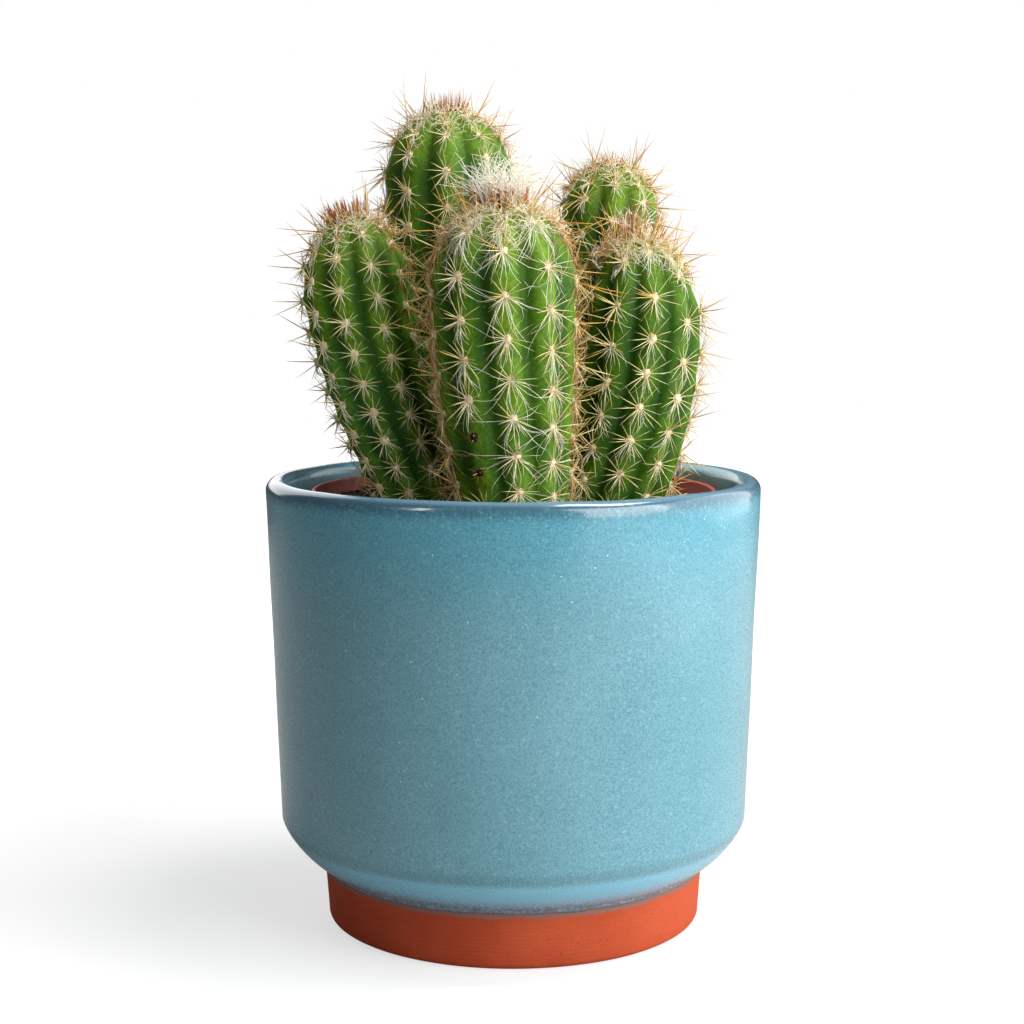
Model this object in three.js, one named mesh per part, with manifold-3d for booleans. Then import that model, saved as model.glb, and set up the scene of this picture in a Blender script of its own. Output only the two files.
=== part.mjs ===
// Potted cactus: five ribbed stems in the soil of a plastic nursery pot, which stands inside
// a thick glazed clay planter. Millimetres, +Z up. The origin is on the table, under the
// middle of the planter's foot, and -Y is the front.
import * as THREE from 'three';
import { mergeVertices } from 'three/addons/utils/BufferGeometryUtils.js';
import Module from 'manifold-3d';

const wasm = await Module();
wasm.setup();

// ---- Driving dimensions -------------------------------------------------------------

const GAP = 0.3; // clearance between pieces that rest on or in each other

const planter = {
  height: 131,
  rimRadius: 72.5,
  wall: 6.3,
  shoulderRadius: 69.1, // the wall's foot, where the rounded shoulder starts
  shoulderTop: 31,
  footTop: 17.2,
  footTopRadius: 56.5,
  footRadius: 55.4,
  footFillet: 1.8,
  ringInnerRadius: 47.5, // inner edge of the ring that stands on the table
  recess: 10, // height of the hollow under the floor
  floor: 17.5, // height of the inside floor
  segments: 56,
};

const nurseryPot = {
  base: planter.floor + GAP,
  height: 109.7,
  wall: 1.2,
  rimRadius: 59.3,
  bandHeight: 7.5, // the stiff band around the rim
  bandStep: 1.8,
  baseRadius: 43,
  standingRing: 3, // height of the ring it stands on
  drainHoles: 6,
  drainHoleRadius: 3.5,
  drainCircle: 28,
  segments: 44,
};

const soil = { crown: 124.2, edge: 123.0, segments: 44 };

const stemNeckHeight = 120; // where each stem's base point lies, just under the soil
const rootDepth = 18; // how far a stem goes on below that
const ribDepth = 2.4;
const segmentsPerRib = 4;

// neck and body are radii over the rib crests; shoulder is the share of the length where
// the dome starts; turn and twist place the ribs, in degrees.
const stems = {
  stem_front_centre: {
    base: [0.5, -29], apex: [-3, -30, 208.5], bow: -1, neck: 14.5, body: 20.3,
    shoulder: 0.77, swell: 1.8, ribs: 10, turn: 8, twist: -9,
  },
  stem_front_left: {
    base: [-21.5, -8.5], apex: [-48, -5, 206], bow: -5, neck: 13, body: 15.5,
    shoulder: 0.76, swell: 2.1, ribs: 10, turn: -15, twist: 4,
  },
  stem_front_right: {
    base: [27, -8.5], apex: [36, -6, 200], bow: 4.5, neck: 14.5, body: 17,
    shoulder: 0.68, swell: 2.1, ribs: 10, turn: -6, twist: 18,
  },
  stem_back_left: {
    base: [-17, 22], apex: [-20, 27, 238.5], bow: 0, neck: 15, body: 19.8,
    shoulder: 0.82, swell: 2, ribs: 10, turn: 0, twist: 0,
  },
  stem_back_right: {
    base: [25, 22], apex: [30, 28, 222.5], bow: 0, neck: 13, body: 15.1,
    shoulder: 0.84, swell: 2, ribs: 10, turn: 2, twist: 0,
  },
};

const crownSpines = { count: 6, length: 11, radius: 0.7, rootedDepth: 3, spread: 24 };

// ---- Shared shaping -----------------------------------------------------------------

// A closed outline of (radius, height) points, turned about the vertical axis.
function turned(points, segments) {
  return new THREE.LatheGeometry(points, segments).rotateX(Math.PI / 2);
}

// Merges the shared vertices and drops the triangles that collapse at the poles.
function welded(geometry) {
  const bare = geometry.clone().deleteAttribute('normal').deleteAttribute('uv');
  const merged = mergeVertices(bare, 1e-4);
  const corners = merged.index.array;
  const kept = [];
  for (let i = 0; i < corners.length; i += 3) {
    const [a, b, c] = corners.slice(i, i + 3);
    if (a !== b && b !== c && c !== a) kept.push(a, b, c);
  }
  merged.setIndex(kept);
  return merged;
}

function solid(geometry) {
  const closed = welded(geometry);
  return new wasm.Manifold(new wasm.Mesh({
    numProp: 3,
    vertProperties: new Float32Array(closed.attributes.position.array),
    triVerts: new Uint32Array(closed.index.array),
  }));
}

function geometryOf(manifold) {
  const mesh = manifold.getMesh();
  const geometry = new THREE.BufferGeometry();
  geometry.setAttribute('position', new THREE.BufferAttribute(mesh.vertProperties, 3));
  geometry.setIndex(new THREE.BufferAttribute(mesh.triVerts, 1));
  geometry.computeVertexNormals();
  return geometry;
}

function named(name, geometry, color, roughness) {
  const material = new THREE.MeshStandardMaterial({ color, roughness, metalness: 0 });
  const mesh = new THREE.Mesh(geometry, material);
  mesh.name = name;
  return mesh;
}

// ---- Planter ------------------------------------------------------------------------

function planterOutline() {
  const p = planter;
  const lip = p.wall / 2;
  const lipCentre = p.rimRadius - lip;
  const lipHeight = p.height - lip;
  const ease = 0.23; // how far the shoulder bulges past a plain chamfer
  const outline = new THREE.Path();
  outline.moveTo(0, p.recess);
  outline.lineTo(p.ringInnerRadius - 2, p.recess);
  outline.lineTo(p.ringInnerRadius, 0);
  outline.lineTo(p.footRadius - p.footFillet, 0);
  outline.quadraticCurveTo(p.footRadius, 0, p.footRadius + 0.4, p.footFillet);
  outline.lineTo(p.footTopRadius, p.footTop);
  outline.bezierCurveTo(
    p.footTopRadius + ease * (p.shoulderRadius - p.footTopRadius), p.footTop,
    p.shoulderRadius, p.shoulderTop - ease * (p.shoulderTop - p.footTop),
    p.shoulderRadius, p.shoulderTop,
  );
  outline.lineTo(p.rimRadius, lipHeight);
  outline.absarc(lipCentre, lipHeight, lip, 0, Math.PI, false);
  outline.lineTo(p.shoulderRadius - p.wall - 0.2, p.shoulderTop + 9);
  outline.quadraticCurveTo(p.shoulderRadius - 7.6, p.floor + 0.5, 46, p.floor);
  outline.lineTo(0, p.floor);
  return outline.getPoints(6);
}

// ---- Nursery pot --------------------------------------------------------------------

function nurseryPotOutline() {
  const p = nurseryPot;
  const rim = p.base + p.height;
  const band = rim - p.bandHeight;
  const underside = p.base + p.standingRing;
  return [
    [0, underside],
    [p.baseRadius - 6, underside],
    [p.baseRadius - 5, p.base],
    [p.baseRadius - 0.6, p.base],
    [p.baseRadius, p.base + 0.8],
    [p.rimRadius - p.bandStep, band],
    [p.rimRadius - 0.2, band + 0.5],
    [p.rimRadius, rim - 0.3],
    [p.rimRadius - 0.3, rim],
    [p.rimRadius - p.wall, rim],
    [p.rimRadius - p.wall - 0.2, band + 1.6],
    [p.rimRadius - p.bandStep - p.wall, band - 0.6],
    [p.baseRadius - p.wall + 0.5, underside + p.wall],
    [0, underside + p.wall],
  ].map(([radius, height]) => new THREE.Vector2(radius, height));
}

function nurseryPotGeometry() {
  const p = nurseryPot;
  let pot = solid(turned(nurseryPotOutline(), p.segments));
  for (let i = 0; i < p.drainHoles; i++) {
    const angle = (2 * Math.PI * i) / p.drainHoles;
    const drill = new THREE.CylinderGeometry(p.drainHoleRadius, p.drainHoleRadius, 8, 12);
    drill.rotateX(Math.PI / 2);
    drill.translate(
      p.drainCircle * Math.cos(angle), p.drainCircle * Math.sin(angle), p.base + p.standingRing,
    );
    pot = pot.subtract(solid(drill));
  }
  return geometryOf(pot);
}

// ---- Stems --------------------------------------------------------------------------

// Radius over the rib crests at share s of the length: a tapering root, a body that swells
// upwards from the neck, and a domed top.
function crestRadius(stem, s, rootEnd) {
  if (s < 0) return stem.neck * (1 - 0.45 * (s / rootEnd) ** 2);
  const rise = Math.min(s / stem.shoulder, 1);
  const body = stem.neck + (stem.body - stem.neck) * (1 - (1 - rise) ** stem.swell);
  const dome = Math.max(0, s - stem.shoulder) / (1 - stem.shoulder);
  return body * Math.sqrt(Math.max(0, 1 - dome ** 2));
}

// The stem's outline with its share of the length as height, in hundredths.
function stemOutline(stem, rootEnd) {
  const shares = [rootEnd, rootEnd / 2, 0];
  const bodyRows = 5;
  for (let i = 1; i <= bodyRows; i++) shares.push((stem.shoulder * i) / bodyRows);
  for (const angle of [24, 44, 61, 76]) {
    shares.push(stem.shoulder + (1 - stem.shoulder) * Math.sin(THREE.MathUtils.degToRad(angle)));
  }
  const skin = shares.map((s) => new THREE.Vector2(crestRadius(stem, s, rootEnd), 100 * s));
  return [new THREE.Vector2(0, 100 * rootEnd), ...skin, new THREE.Vector2(0, 100)];
}

// Axes of a stem: right, back and up along the line from its base to its apex.
function stemFrame(stem) {
  const foot = new THREE.Vector3(...stem.base, stemNeckHeight);
  const along = new THREE.Vector3(...stem.apex).sub(foot);
  const up = along.clone().normalize();
  const right = new THREE.Vector3(0, 1, 0).cross(up).normalize();
  const back = up.clone().cross(right);
  return { foot, along, basis: new THREE.Matrix4().makeBasis(right, back, up) };
}

// Cuts the grooves between the ribs into a turned column and lays it along the stem's axis.
function ribbedAlongStem(column, stem, margin) {
  const { foot, along, basis } = stemFrame(stem);
  const position = column.attributes.position;
  const point = new THREE.Vector3();
  for (let i = 0; i < position.count; i++) {
    point.fromBufferAttribute(position, i);
    const s = point.z / 100;
    const crest = Math.hypot(point.x, point.y);
    const around = Math.atan2(point.x, -point.y);
    const groove = ((1 - Math.cos(stem.ribs * around)) / 2) ** 1.5;
    const radius = crest * (1 - (ribDepth / stem.body) * groove) + (crest > 0 ? margin : 0);
    const angle = around + THREE.MathUtils.degToRad(stem.turn + stem.twist * s);
    point.set(radius * Math.sin(angle), -radius * Math.cos(angle), 0).applyMatrix4(basis);
    point.add(foot).addScaledVector(along, s);
    point.x += stem.bow * 4 * s * (1 - s);
    if (s < 0) point.z -= margin;
    position.setXYZ(i, point.x, point.y, point.z);
  }
  return column;
}

// One stem's body; a margin makes it that much fatter all round, to cut its place in the soil.
function stemBody(stem, margin = 0) {
  const rootEnd = -rootDepth / (stem.apex[2] - stemNeckHeight);
  const column = turned(stemOutline(stem, rootEnd), stem.ribs * segmentsPerRib);
  return solid(ribbedAlongStem(column, stem, margin));
}

// The longest spines at the crown, a ring of them that leans outwards.
function crownSpine(stem, index) {
  const c = crownSpines;
  const spine = new THREE.ConeGeometry(c.radius, c.length + c.rootedDepth, 5);
  spine.rotateX(Math.PI / 2);
  spine.translate(0, 0, (c.length - c.rootedDepth) / 2);
  spine.rotateX(THREE.MathUtils.degToRad(c.spread));
  spine.translate(0, -0.16 * stem.body, 0);
  spine.rotateZ((2 * Math.PI * (index + 0.5)) / c.count);
  const [x, y, z] = stem.apex;
  return solid(spine.translate(x, y, z - 2));
}

function stemGeometry(stem) {
  let whole = stemBody(stem);
  for (let i = 0; i < crownSpines.count; i++) whole = whole.add(crownSpine(stem, i));
  return geometryOf(whole);
}

// ---- Soil ---------------------------------------------------------------------------

function soilOutline() {
  const p = nurseryPot;
  const inside = p.wall + GAP;
  const band = p.base + p.height - p.bandHeight;
  return [
    [0, p.base + p.standingRing + inside],
    [p.baseRadius - inside + 0.5, p.base + p.standingRing + inside],
    [p.rimRadius - p.bandStep - inside - 0.1, band - 0.6],
    [p.rimRadius - inside - 0.3, band + 1.8],
    [p.rimRadius - inside - 0.3, soil.edge],
    [0.6 * p.rimRadius, (soil.edge + soil.crown) / 2 + 0.3],
    [0, soil.crown],
  ].map(([radius, height]) => new THREE.Vector2(radius, height));
}

function soilGeometry() {
  let filling = solid(turned(soilOutline(), soil.segments));
  for (const stem of Object.values(stems)) filling = filling.subtract(stemBody(stem, GAP));
  return geometryOf(filling);
}

// ---- The plant in its pots ----------------------------------------------------------

const cactus = new THREE.Group();
cactus.add(named('planter', turned(planterOutline(), planter.segments), 0x6fb0c4, 0.3));
cactus.add(named('nursery_pot', nurseryPotGeometry(), 0xb9321c, 0.5));
cactus.add(named('soil', soilGeometry(), 0x3b2a1c, 0.95));
for (const [name, stem] of Object.entries(stems)) {
  cactus.add(named(name, stemGeometry(stem), 0x3f8a2e, 0.55));
}

export default cactus;
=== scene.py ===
"""A potted cactus: five ribbed stems in a plastic growing pot, inside a glazed clay planter."""

import math
import random

import bmesh
import bpy
import numpy as np
from mathutils import Matrix, Vector, noise


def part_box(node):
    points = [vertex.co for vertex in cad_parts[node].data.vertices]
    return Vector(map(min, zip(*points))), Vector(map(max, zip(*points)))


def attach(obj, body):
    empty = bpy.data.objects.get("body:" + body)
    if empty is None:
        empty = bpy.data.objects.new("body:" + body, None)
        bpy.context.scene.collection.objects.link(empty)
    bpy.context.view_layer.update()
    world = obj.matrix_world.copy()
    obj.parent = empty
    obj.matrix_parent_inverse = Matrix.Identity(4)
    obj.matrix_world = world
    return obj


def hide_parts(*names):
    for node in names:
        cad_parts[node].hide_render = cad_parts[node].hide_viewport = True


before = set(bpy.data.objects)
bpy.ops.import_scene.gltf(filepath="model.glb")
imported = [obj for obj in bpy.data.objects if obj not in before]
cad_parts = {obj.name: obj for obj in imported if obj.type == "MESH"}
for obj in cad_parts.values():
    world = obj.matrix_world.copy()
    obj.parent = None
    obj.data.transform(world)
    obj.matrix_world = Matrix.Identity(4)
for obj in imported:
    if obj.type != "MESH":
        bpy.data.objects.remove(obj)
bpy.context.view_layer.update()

# ---- Planter: clay body -------------------------------------------------------------------
# The planter is cast in red clay with a thick wall, a rounded shoulder and a foot ring that
# is hollow underneath. The foot is left bare, so its matt orange clay and fine turning
# lines show. The body lies one coat of glaze inside the finished surface.

MM = 0.001
glaze_thickness = 0.45 * MM
planter_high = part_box("planter")[1]
rim_radius = planter_high.x
planter_height = planter_high.z
wall = 6.3 * MM
shoulder_radius, shoulder_top = 69.1 * MM, 31 * MM
foot_radius, foot_top_radius, foot_top = 55.4 * MM, 56.5 * MM, 17.2 * MM
foot_fillet = 1.8 * MM
ring_inner_radius, recess = 47.5 * MM, 10 * MM
planter_floor, floor_radius = 17.5 * MM, 46 * MM
planter_steps = 180


def arc(centre, radii, start, end, count, power=1.0):
    """Points of (radius, height) on an arc, in degrees; a power over 1 flattens it."""
    points = []
    for i in range(count + 1):
        angle = math.radians(start + (end - start) * i / count)
        across, up = math.cos(angle), math.sin(angle)
        points.append((
            centre[0] + radii[0] * math.copysign(abs(across) ** power, across),
            centre[1] + radii[1] * math.copysign(abs(up) ** power, up),
        ))
    return points


def line(start, end, count):
    """Points from start to end, without the two ends."""
    steps = [i / (count + 1) for i in range(1, count + 1)]
    return [tuple(a + (b - a) * t for a, b in zip(start, end)) for t in steps]


def wall_outline(inset):
    """The planter's surface from the foot joint over the lip to the middle of the floor."""
    lip = wall / 2
    lip_centre = (rim_radius - lip, planter_height - lip)
    shoulder = arc(
        (foot_top_radius, shoulder_top),
        (shoulder_radius - foot_top_radius - inset, shoulder_top - foot_top - inset),
        -90, 0, 18, power=1.5,
    )
    lip_points = arc(lip_centre, (lip - inset, lip - inset), 0, 180, 16)
    inner_foot = (shoulder_radius - wall - 0.2 * MM + inset, shoulder_top + 9 * MM)
    inner_curve = arc(
        (floor_radius, inner_foot[1]),
        (inner_foot[0] - floor_radius, inner_foot[1] - planter_floor + inset),
        0, -90, 10,
    )
    return (
        shoulder + line(shoulder[-1], lip_points[0], 46) + lip_points
        + line(lip_points[-1], inner_foot, 26) + inner_curve
        + line(inner_curve[-1], (0, inner_curve[-1][1]), 6) + [(0, inner_curve[-1][1])]
    )


def turned_mesh(outline, steps):
    """Spins an outline of (radius, height) points into a mesh around the vertical axis."""
    shape = bmesh.new()
    points = [shape.verts.new((radius, 0, height)) for radius, height in outline]
    edges = [shape.edges.new(pair) for pair in zip(points, points[1:])]
    bmesh.ops.spin(
        shape, geom=points + edges, cent=(0, 0, 0), axis=(0, 0, 1),
        angle=math.tau, steps=steps, use_merge=True,
    )
    bmesh.ops.remove_doubles(shape, verts=shape.verts, dist=1e-6)
    bmesh.ops.recalc_face_normals(shape, faces=shape.faces)
    return shape


def mesh_from(shape, name):
    mesh = bpy.data.meshes.new(name)
    shape.to_mesh(mesh)
    shape.free()
    return mesh


def new_object(name, data):
    made = bpy.data.objects.new(name, data)
    bpy.context.scene.collection.objects.link(made)
    return made


def piece_from(shape, name, material, slot, *nodes):
    """Makes a smooth piece of a bmesh, on the object's one body."""
    return piece_of(mesh_from(shape, name), name, material, slot, *nodes)


def piece_of(mesh, name, material, slot, *nodes):
    mesh.shade_smooth()
    mesh.materials.append(material)
    piece = new_object(name, mesh)
    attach(piece, "root")
    if nodes:
        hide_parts(*nodes)
    return piece


def put(tree, kind, inputs=None, **settings):
    """Adds a node; an input is a value, or an output socket to link."""
    made = tree.nodes.new(kind)
    for name, value in settings.items():
        setattr(made, name, value)
    for name, value in (inputs or {}).items():
        if isinstance(value, bpy.types.NodeSocket):
            tree.links.new(value, made.inputs[name])
        else:
            made.inputs[name].default_value = value
    return made


def mixed(tree, factor, first, second, blend="MIX"):
    """A colour that goes from first to second with the factor."""
    made = tree.nodes.new("ShaderNodeMix")
    made.data_type, made.blend_type = "RGBA", blend
    for index, value in ((0, factor), (6, first), (7, second)):
        if isinstance(value, bpy.types.NodeSocket):
            tree.links.new(value, made.inputs[index])
        else:
            made.inputs[index].default_value = (*value, 1) if index else value
    return made.outputs[2]


def ranged(tree, value, low, high, to_low=0.0, to_high=1.0):
    """A value taken smoothly from low..high to to_low..to_high."""
    made = put(tree, "ShaderNodeMapRange", {
        "Value": value, "From Min": low, "From Max": high, "To Min": to_low, "To Max": to_high,
    }, interpolation_type="SMOOTHSTEP")
    return made.outputs["Result"]


def worked(tree, operation, first, second=0.0):
    made = put(tree, "ShaderNodeMath", {0: first, 1: second}, operation=operation)
    return made.outputs[0]


def group_tree(name, inputs, outputs):
    """A shader node group with float inputs and outputs, and its input and output nodes."""
    tree = bpy.data.node_groups.new(name, "ShaderNodeTree")
    for label, default in inputs.items():
        socket = tree.interface.new_socket(label, in_out="INPUT", socket_type="NodeSocketFloat")
        socket.default_value = default
    for label in outputs:
        tree.interface.new_socket(label, in_out="OUTPUT", socket_type="NodeSocketFloat")
    return tree, put(tree, "NodeGroupInput"), put(tree, "NodeGroupOutput")


def object_place(tree):
    return put(tree, "ShaderNodeTexCoord").outputs["Object"]


def mottle_group():
    """Cloudy and grainy variation from 0 to 1, at a broad and a fine size in the same finish."""
    tree, given, result = group_tree(
        "mottle", {"Broad": 30.0, "Fine": 900.0}, ["Cloud", "Grain", "Height"]
    )
    place = object_place(tree)
    cloud = put(tree, "ShaderNodeTexNoise", {
        "Vector": place, "Scale": given.outputs["Broad"], "Detail": 4.0, "Roughness": 0.55,
    })
    grain = put(tree, "ShaderNodeTexNoise", {
        "Vector": place, "Scale": given.outputs["Fine"], "Detail": 3.0, "Roughness": 0.6,
    })
    tree.links.new(ranged(tree, cloud.outputs["Fac"], 0.3, 0.7), result.inputs["Cloud"])
    tree.links.new(ranged(tree, grain.outputs["Fac"], 0.3, 0.7), result.inputs["Grain"])
    tree.links.new(grain.outputs["Fac"], result.inputs["Height"])
    return tree


def specks_group():
    """Scattered round specks: a mask of 1 inside a speck, on a share of the cells."""
    tree, given, result = group_tree(
        "specks", {"Scale": 400.0, "Size": 0.2, "Share": 0.3}, ["Mask"]
    )
    place = object_place(tree)
    cells = put(tree, "ShaderNodeTexVoronoi", {"Vector": place, "Scale": given.outputs["Scale"]})
    inside = worked(tree, "LESS_THAN", cells.outputs["Distance"], given.outputs["Size"])
    pick = put(tree, "ShaderNodeSeparateColor", {"Color": cells.outputs["Color"]})
    chosen = worked(tree, "LESS_THAN", pick.outputs["Red"], given.outputs["Share"])
    tree.links.new(worked(tree, "MULTIPLY", inside, chosen), result.inputs["Mask"])
    return tree


mottle = mottle_group()
specks = specks_group()


def new_material(name):
    """A material with its tree and its Principled shader."""
    material = bpy.data.materials.new(name)
    material.use_nodes = True
    tree = material.node_tree
    return material, tree, tree.nodes["Principled BSDF"]


def mottled(tree, broad, fine):
    return put(tree, "ShaderNodeGroup", {"Broad": broad, "Fine": fine}, node_tree=mottle).outputs


def specked(tree, scale, size, share):
    inputs = {"Scale": scale, "Size": size, "Share": share}
    return put(tree, "ShaderNodeGroup", inputs, node_tree=specks).outputs["Mask"]


def surfaced(tree, shader, colour, pattern, roughness, gloss=0.5):
    """Links a colour, and a roughness that follows a pattern between two values."""
    tree.links.new(colour, shader.inputs["Base Color"])
    tree.links.new(ranged(tree, pattern, 0.0, 1.0, *roughness), shader.inputs["Roughness"])
    shader.inputs["Specular IOR Level"].default_value = gloss


def bumped(tree, shader, height, distance, strength=1.0):
    bump = put(tree, "ShaderNodeBump", {
        "Height": height, "Distance": distance, "Strength": strength,
    })
    tree.links.new(bump.outputs["Normal"], shader.inputs["Normal"])


def bare_clay_material():
    material, tree, shader = new_material("bare_clay")
    place = object_place(tree)
    patch = mottled(tree, 28.0, 1400.0)
    height = put(tree, "ShaderNodeSeparateXYZ", {"Vector": place}).outputs["Z"]
    clay = mixed(tree, patch["Cloud"], (0.44, 0.062, 0.022), (0.56, 0.094, 0.033))
    grit = mixed(tree, patch["Grain"], (0.8, 0.72, 0.66), (1.0, 1.0, 1.0))
    clay = mixed(tree, 0.6, clay, grit, "MULTIPLY")
    clay = mixed(tree, specked(tree, 620.0, 0.16, 0.1), clay, (0.22, 0.04, 0.02))
    ragged = put(tree, "ShaderNodeTexNoise", {"Vector": place, "Scale": 110.0, "Detail": 3.0})
    edge = worked(tree, "ADD", height, worked(tree, "MULTIPLY", ragged.outputs["Fac"], -1.6 * MM))
    stain_and_painted_shade = ranged(tree, edge, 13.7 * MM, 14.6 * MM)
    clay = mixed(tree, worked(tree, "MULTIPLY", stain_and_painted_shade, 0.8), clay, (0.20, 0.155, 0.145))
    surfaced(tree, shader, clay, patch["Grain"], (0.72, 0.88), 0.2)
    turning = put(tree, "ShaderNodeTexWave", {
        "Vector": place, "Scale": 260.0, "Distortion": 1.5, "Detail": 2.0,
    }, wave_type="BANDS", bands_direction="Z")
    relief = worked(tree, "ADD", worked(tree, "MULTIPLY", turning.outputs["Fac"], 0.35),
                    patch["Height"])
    bumped(tree, shader, relief, 0.12 * MM, 0.6)
    return material


def clay_outline():
    foot_height = foot_fillet + 0.6 * MM
    fillet = arc(
        (foot_radius - foot_fillet, foot_fillet), (foot_fillet, foot_fillet), -90, -8, 7
    )
    joint = (foot_top_radius, foot_top - 0.4 * MM)
    return (
        [(0, recess)] + line((0, recess), (ring_inner_radius - 4 * MM, recess), 5)
        + [(ring_inner_radius - 4 * MM, recess), (ring_inner_radius - 1.6 * MM, recess - 1 * MM)]
        + [(ring_inner_radius - 1.2 * MM, 2 * MM), (ring_inner_radius, 0)]
        + fillet + line((foot_radius, foot_height), joint, 8) + [joint]
        + wall_outline(glaze_thickness)
    )


clay_body = turned_mesh(clay_outline(), planter_steps)
for vert in clay_body.verts:
    wander = noise.noise(Vector((vert.co.x, vert.co.y, 3 * vert.co.z)) * 45)
    vert.co.x += vert.co.x / rim_radius * wander * 0.12 * MM
    vert.co.y += vert.co.y / rim_radius * wander * 0.12 * MM
piece_from(clay_body, "planter_clay", bare_clay_material(), "bare_clay", "planter")

# ---- Planter: glaze -----------------------------------------------------------------------
# A blue-green glaze, poured inside and dipped outside, covers everything but the foot. It is
# half a millimetre thick, ends in a wavy rolled edge just below the shoulder, pools slightly
# at the lip where it breaks to slate blue, and is full of fine grains and pinholes.

glaze_edge = foot_top - 0.8 * MM
edge_wave = 0.4 * MM
glaze_wander = 0.16 * MM


def glaze_material():
    material, tree, shader = new_material("glaze")
    place = object_place(tree)
    patch = mottled(tree, 22.0, 2100.0)
    height = put(tree, "ShaderNodeSeparateXYZ", {"Vector": place}).outputs["Z"]
    blue = mixed(tree, patch["Cloud"], (0.108, 0.300, 0.362), (0.145, 0.345, 0.415))
    upper = ranged(tree, height, 0.095, 0.126)
    blue = mixed(tree, worked(tree, "MULTIPLY", upper, 0.6), blue, (0.062, 0.32, 0.43))
    grain = mixed(tree, patch["Grain"], (0.66, 0.70, 0.74), (1.22, 1.18, 1.14))
    blue = mixed(tree, 0.85, blue, grain, "MULTIPLY")
    coarse = put(tree, "ShaderNodeTexNoise", {
        "Vector": place, "Scale": 900.0, "Detail": 2.0, "Roughness": 0.7,
    })
    pale = ranged(tree, coarse.outputs["Fac"], 0.56, 0.72, 0.0, 0.45)
    blue = mixed(tree, pale, blue, (0.33, 0.56, 0.61))
    blue = mixed(tree, specked(tree, 330.0, 0.075, 0.12), blue, (0.72, 0.82, 0.82))
    blue = mixed(tree, specked(tree, 390.0, 0.08, 0.10), blue, (0.02, 0.06, 0.08))
    ragged = worked(tree, "MULTIPLY", coarse.outputs["Fac"], 5 * MM)
    flat_place = put(tree, "ShaderNodeVectorMath", {0: place, 1: (1, 1, 0)},
                     operation="MULTIPLY").outputs["Vector"]
    reach = put(tree, "ShaderNodeVectorMath", {0: flat_place}, operation="LENGTH")
    outside = ranged(tree, reach.outputs["Value"], 68.5 * MM, 71.0 * MM)
    lip = ranged(tree, worked(tree, "SUBTRACT", height, ragged), 0.1225, 0.1275)
    blue = mixed(tree, worked(tree, "MULTIPLY", worked(tree, "MULTIPLY", lip, outside), 0.78),
                 blue, (0.045, 0.080, 0.125))
    # Painted light: the inside of the planter is painted a lighter blue, as if it were lit.
    inside = ranged(tree, reach.outputs["Value"], 66.6 * MM, 68.2 * MM, 0.75, 0.0)
    blue = mixed(tree, inside, blue, (0.24, 0.62, 0.80))
    crest = ranged(tree, height, 0.1298, 0.1308, 0.0, 0.5)
    blue = mixed(tree, crest, blue, (0.22, 0.37, 0.48))
    low = ranged(tree, worked(tree, "ADD", height, ragged), 19 * MM, 24.5 * MM, 0.9, 0.0)
    flecks = ranged(tree, coarse.outputs["Fac"], 0.40, 0.62, 1.0, 0.15)
    blue = mixed(tree, worked(tree, "MULTIPLY", low, flecks), blue, (0.045, 0.10, 0.125))
    thin = ranged(tree, height, 16.6 * MM, 18.2 * MM, 0.75, 0.0)
    blue = mixed(tree, thin, blue, (0.20, 0.19, 0.20))
    tree.links.new(blue, shader.inputs["Base Color"])
    rough = ranged(tree, patch["Grain"], 0.0, 1.0, 0.24, 0.35)
    polish = worked(tree, "MULTIPLY", lip, outside)
    rough = worked(tree, "SUBTRACT", rough, worked(tree, "MULTIPLY", polish, 0.12))
    tree.links.new(rough, shader.inputs["Roughness"])
    shader.inputs["Coat Weight"].default_value = 0.5
    shader.inputs["Coat Roughness"].default_value = 0.06
    pits = worked(tree, "MULTIPLY", specked(tree, 390.0, 0.08, 0.10), -1.2)
    relief = worked(tree, "ADD", worked(tree, "MULTIPLY", patch["Height"], 0.8), pits)
    bumped(tree, shader, relief, 0.05 * MM, 0.5)
    return material


glaze_coat = turned_mesh(
    [(foot_top_radius + 0.15 * MM, glaze_edge), (foot_top_radius + 0.5 * MM, foot_top - 0.5 * MM),
     (foot_top_radius + 0.9 * MM, foot_top - 0.12 * MM)]
    + wall_outline(0)[2:],
    planter_steps,
)
for vert in glaze_coat.verts:
    around = math.atan2(vert.co.y, vert.co.x)
    reach = max(0, 1 - (vert.co.z - glaze_edge) / (1.2 * MM))
    sway = noise.noise(Vector((math.cos(around), math.sin(around), 0)) * 5)
    sway += 0.5 * noise.noise(Vector((math.cos(around), math.sin(around), 1)) * 14)
    if math.hypot(vert.co.x, vert.co.y) > foot_top_radius:
        vert.co.z -= reach * edge_wave * sway
    near_lip = max(0, 1 - (planter_height - vert.co.z) / (9 * MM))
    wander = noise.noise(vert.co * 40) + 0.8 * near_lip * noise.noise(vert.co * 120)
    spread = 1 + wander * glaze_wander / rim_radius
    vert.co.x *= spread
    vert.co.y *= spread
    vert.co.z += near_lip * 0.2 * MM * noise.noise(vert.co * 55 + Vector((3, 0, 0)))
glaze = piece_from(glaze_coat, "planter_glaze", glaze_material(), "glaze", "planter")
coat = glaze.modifiers.new("coat", "SOLIDIFY")
coat.thickness = glaze_thickness * 0.8
coat.offset = -1

# ---- Growing pot --------------------------------------------------------------------------
# The plant still stands in its growing pot: one thin moulding of orange-red plastic with a
# stiff band round the rim, a ring to stand on and six drain holes in its floor.

pot_low, pot_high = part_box("nursery_pot")
pot_rim, pot_wall = pot_high.x, 1.2 * MM
pot_base_radius, band_height, band_step = 43 * MM, 7.5 * MM, 1.8 * MM
standing_ring = 3 * MM
drain_holes, drain_radius, drain_circle = 6, 3.5 * MM, 28 * MM


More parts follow.
